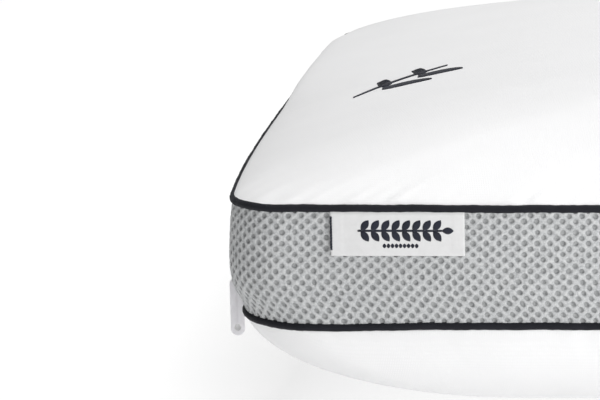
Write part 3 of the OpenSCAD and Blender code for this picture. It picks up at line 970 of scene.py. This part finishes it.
def label_point(across, down, lift=0.0):
    """Point of the label's front face; across and down are metres from its top left corner."""
    across, down = np.broadcast_arrays(np.asarray(across, float), np.asarray(down, float))
    u, w = across / LABEL_W, np.maximum(down, 0) / LABEL_H
    from_side = np.minimum(across, LABEL_W - across)
    fold = 0.13 * MM * smooth((5 * MM - from_side) / (0.7 * MM))
    long_wave = 0.14 * MM * np.sin(2 * np.pi * (0.9 * u + 0.15)) * w
    short_wave = 0.1 * MM * np.sin(2 * np.pi * (2.3 * u + 0.6)) * w
    out = 0.3 * MM + 0.8 * MM * w ** 1.2 + fold + long_wave + short_wave + lift + 0.5 * np.minimum(down, 0)
    return np.stack([LABEL_LO.x + across, LABEL_LO.y - out, LABEL_HI.z - down], -1)


def sticker(p, thick):
    """Flat shape on the label, from its outline p: rings out to its rim and one behind the rim."""
    middle = p.mean(axis=0)
    rings = [middle + (p - middle) * k for k in (0.02, 0.55, 1.0)]
    front = [label_point(r[:, 0], r[:, 1], thick) for r in rings]
    back = [label_point(rings[-1][:, 0], rings[-1][:, 1], -0.02 * MM)]
    return np.array(front + back)


def leaf_outline(x, y, turn, long, wide, n=11):
    """Pointed leaf from (x, y) along turn, in the label's across and down."""
    t = np.linspace(0, 1, n)
    half = wide / 2 * np.sin(np.pi * t) ** 0.8
    along = np.concatenate([t * long, t[-2:0:-1] * long])
    off = np.concatenate([half, -half[-2:0:-1]])
    return np.stack([x + along * math.cos(turn) - off * math.sin(turn),
                     y + along * math.sin(turn) + off * math.cos(turn)], -1)


def bar_outline(x0, x1, y, half, n=7):
    t = np.linspace(-np.pi / 2, np.pi / 2, n)
    return np.concatenate([
        np.stack([x1 + half * np.cos(t), y + half * np.sin(t)], -1),
        np.stack([x0 - half * np.cos(t), y - half * np.sin(t)], -1)])


def label_ribbon():
    rows, cols = 28, 84
    across = np.linspace(0, LABEL_W, cols)[None, :]
    down = np.concatenate([[-LABEL_TUCK, -LABEL_TUCK / 2], np.linspace(0, LABEL_H, rows - 2)])[:, None]
    front = label_point(across, down)
    label = slab("label_ribbon", front, front + (0, LABEL_T, 0), SATIN)
    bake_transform(label)
    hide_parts("woven_label")


def label_shapes():
    """Outlines of the leaf row on its stem, and of the row of dots under it."""
    row_y, first, last = 0.40 * LABEL_H, 0.21 * LABEL_W, 0.83 * LABEL_W
    shapes = [bar_outline(first, last, row_y, 0.45 * MM)]
    for at in np.linspace(first + 1.0 * MM, last - 3.4 * MM, 8):
        for turn in (-0.95, 0.95):
            shapes.append(leaf_outline(at, row_y, turn, 5.3 * MM, 2.9 * MM))
    shapes.append(leaf_outline(last, row_y, 0.0, 4.8 * MM, 2.8 * MM))
    for x in np.linspace(0.40 * LABEL_W, 0.64 * LABEL_W, 9):
        shapes.append(leaf_outline(x - 0.75 * MM, 0.76 * LABEL_H, 0.0, 1.6 * MM, 1.9 * MM, 5))
    return shapes


def label_art():
    parts, faces, caps, start = [], [], [], 0
    for shape in label_shapes():
        rings = sticker(shape, 0.07 * MM)
        n = rings.shape[1]
        parts.append(rings.reshape(-1, 3))
        faces.append(grid(4, n, True, start))
        caps += [cap(n, 0, start, back=True), cap(n, 3, start)]
        start += 4 * n
    art = mesh_object("label_leaf_row", np.concatenate(parts), [np.concatenate(faces), *caps], [THREAD])
    add_weave(art, np.concatenate(parts))
    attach(art, "label")


def label_edge_painted_shadow():
    """Dark threads slanted like whip stitches over the label's left edge: a painted shadow along that
    edge.
    """
    runs = []
    across = np.array([-0.2, 0.25, 0.5, 0.7]) * MM
    slant = np.array([0.1, 0.2, 0.35, 0.5]) * MM
    for down in np.arange(1.0 * MM, 0.86 * LABEL_H, 0.62 * MM):
        runs.append((label_point(across, down + slant, 0.1 * MM), (0, -1, 0)))
    # These dark threads are a painted shadow along the label's left edge.
    shadow_threads = threads("label_edge_painted_shadow", runs, 0.33 * MM, THREAD)
    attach(shadow_threads, "label")


# ---------------- motif
MOTIF_PLACE = (-HALF_X + 54 * MM, -34 * MM)


def crown_heights(panel_object):
    """Function that drops a point on the panel and gives its height and the panel's normal there."""
    mesh = panel_object.data
    tree = BVHTree.FromPolygons([v.co[:] for v in mesh.vertices], [p.vertices[:] for p in mesh.polygons])

    def drop(p):
        hit = tree.ray_cast((float(p[0]), float(p[1]), 1.0), (0, 0, -1))
        return hit[0].z, np.array(hit[1][:])

    return drop


def stem_point(start, turn, long, bend, t, off=0.0):
    side = bend * np.sin(np.pi * t) + off
    return (start[0] + t * long * math.cos(turn) - side * math.sin(turn),
            start[1] + t * long * math.sin(turn) + side * math.cos(turn))


def satin_stroke(drop, start, turn, long, wide, bend, slant, pitch=0.40 * MM):
    """Satin stitches laid across a bowed stroke, following the crown under them."""
    runs = []
    count = int(long / pitch)
    for k in range(count):
        t = (k + 0.5) / count
        half = wide / 2 * math.sin(math.pi * (0.03 + 0.94 * t)) ** 0.8
        across = np.linspace(-1, 1, 7)
        shift = slant * half * across / long
        points = [
            stem_point(start, turn, long, bend, np.clip(t + ds, 0, 1), c * half)
            for c, ds in zip(across, shift)]
        heights = [drop(p) for p in points]
        arch = (0.5 * (1 - across ** 4) - 0.12) * MM
        runs.append(([(*p, h[0] + a) for p, h, a in zip(points, heights, arch)], heights[3][1]))
    return runs


def motif(panel_object):
    """Leaf sprig: a bowed stem and two pairs of leaves, the upper pair shorter."""
    drop = crown_heights(panel_object)

    def stroke(x, y, degrees, long, wide, bend, slant):
        start = np.array(MOTIF_PLACE) + np.array([x, y]) * MM
        return satin_stroke(
            drop, start, math.radians(degrees), long * MM, wide * MM, bend * MM, slant)

    runs = stroke(-20, -20, 42, 50, 2.4, 3, 0.6)
    for pair in range(2):
        x, y, shorter = 14 * pair, 13 * pair, 2 * pair
        runs += stroke(x - 10, y - 9, 86, 15 - shorter, 8, -1, 1.2)
        runs += stroke(x - 8, y - 13, -2, 21 - shorter, 9, 1, 1.2)
    sewn = threads("satin_stitch_sprig", runs, 0.27 * MM, THREAD)
    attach(sewn, "pillow")
    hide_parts("embroidered_motif")


# ---------------- camera, floor and light
CAMERA_PLACE = (0.0032, -2.0669, 0.5064)
CAMERA_LENS = 289.7
CAMERA_YAW = math.radians(-8.298)       # from +Y, to the right
CAMERA_PITCH = math.radians(-12.256)    # up
CAMERA_ROLL = math.radians(-1.72)
SKY, SKY_SLOPE = 0.39, 0.42             # the sky's strength, and how much more of it comes from +X
FLOOR_GREY, FLOOR_GLOW = 0.45, 0.61
FLOOR_HALF, FLOOR_DROP = 12.0, 0.4 * MM
LAMPS = {                               # place, target, size and watts
    "near_right_front": ((0.10, -0.55, 0.17), (-0.12, -0.1, 0.07), (0.45, 0.22), 1.05),
    "overhead": ((0.0, 0.15, 2.4), (0, 0, 0.1), (1.8, 1.8), 41),
}


def place_camera():
    data = bpy.data.cameras.new("camera")
    cam = bpy.data.objects.new("camera", data)
    bpy.context.scene.collection.objects.link(cam)
    cam.location = CAMERA_PLACE
    data.sensor_width = 36.0
    data.lens = CAMERA_LENS
    data.clip_end = 60.0
    ahead = np.array([math.sin(CAMERA_YAW), math.cos(CAMERA_YAW), 0.0])
    level = np.array([math.cos(CAMERA_YAW), -math.sin(CAMERA_YAW), 0.0])
    aim = ahead * math.cos(CAMERA_PITCH) + np.array([0, 0, math.sin(CAMERA_PITCH)])
    plumb = np.cross(level, aim)
    right = level * math.cos(CAMERA_ROLL) + plumb * math.sin(CAMERA_ROLL)
    top = plumb * math.cos(CAMERA_ROLL) - level * math.sin(CAMERA_ROLL)
    cam.rotation_mode = "XYZ"
    cam.rotation_euler = Matrix(np.stack([right, top, -aim], 1).tolist()).to_euler("XYZ")
    bpy.context.scene.camera = cam


def add_sky():
    world = bpy.data.worlds.new("studio")
    bpy.context.scene.world = world
    world.use_nodes = True
    tree = world.node_tree
    sky = tree.nodes["Background"]
    sky.inputs["Color"].default_value = (1, 1, 1, 1)
    split = tree.nodes.new("ShaderNodeSeparateXYZ")
    tree.links.new(tree.nodes.new("ShaderNodeTexCoord").outputs["Generated"], split.inputs[0])
    slope = math_node(tree, "MULTIPLY", split.outputs["X"], SKY_SLOPE)
    tree.links.new(math_node(tree, "ADD", slope, SKY), sky.inputs["Strength"])


def add_floor():
    white, _, shader = finish_material("floor_white", grey(FLOOR_GREY), 0.9, specular=0.0)
    shader.inputs["Emission Color"].default_value = (1, 1, 1, 1)
    shader.inputs["Emission Strength"].default_value = FLOOR_GLOW
    square = [(-1, -1), (1, -1), (1, 1), (-1, 1)]
    corners = [(x * FLOOR_HALF, y * FLOOR_HALF, -FLOOR_DROP) for x, y in square]
    mesh_object("floor", corners, [[(0, 1, 2, 3)]], [white])


def add_lamp(name, place, target, size, watts):
    data = bpy.data.lights.new(name, "AREA")
    data.shape = "RECTANGLE"
    data.size, data.size_y = size
    data.energy = watts
    lamp = bpy.data.objects.new(name, data)
    lamp.visible_camera = False
    lamp.location = place
    lamp.rotation_euler = (Vector(target) - Vector(place)).to_track_quat("-Z", "Y").to_euler()
    bpy.context.scene.collection.objects.link(lamp)


def finish_cad_nodes():
    """Materials of the three CAD nodes that no piece replaces."""
    for node, material in (("zip_slider", SLIDER), ("zip_top_stops", STOP), ("zip_bottom_stop", STOP)):
        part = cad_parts[node]
        part.data.materials.clear()
        part.data.materials.append(material)


bpy.context.scene.view_settings.view_transform = "Standard"
place_camera()
add_sky()
add_floor()
for name, lamp in LAMPS.items():
    add_lamp(name, *lamp)
spacer_mesh()
top = top_panel()
bottom_panel()
stuffing()
piping("upper")
piping("lower")
zip_fastener()
zip_puller()
label_ribbon()
label_art()
label_edge_painted_shadow()
motif(top)
finish_cad_nodes()
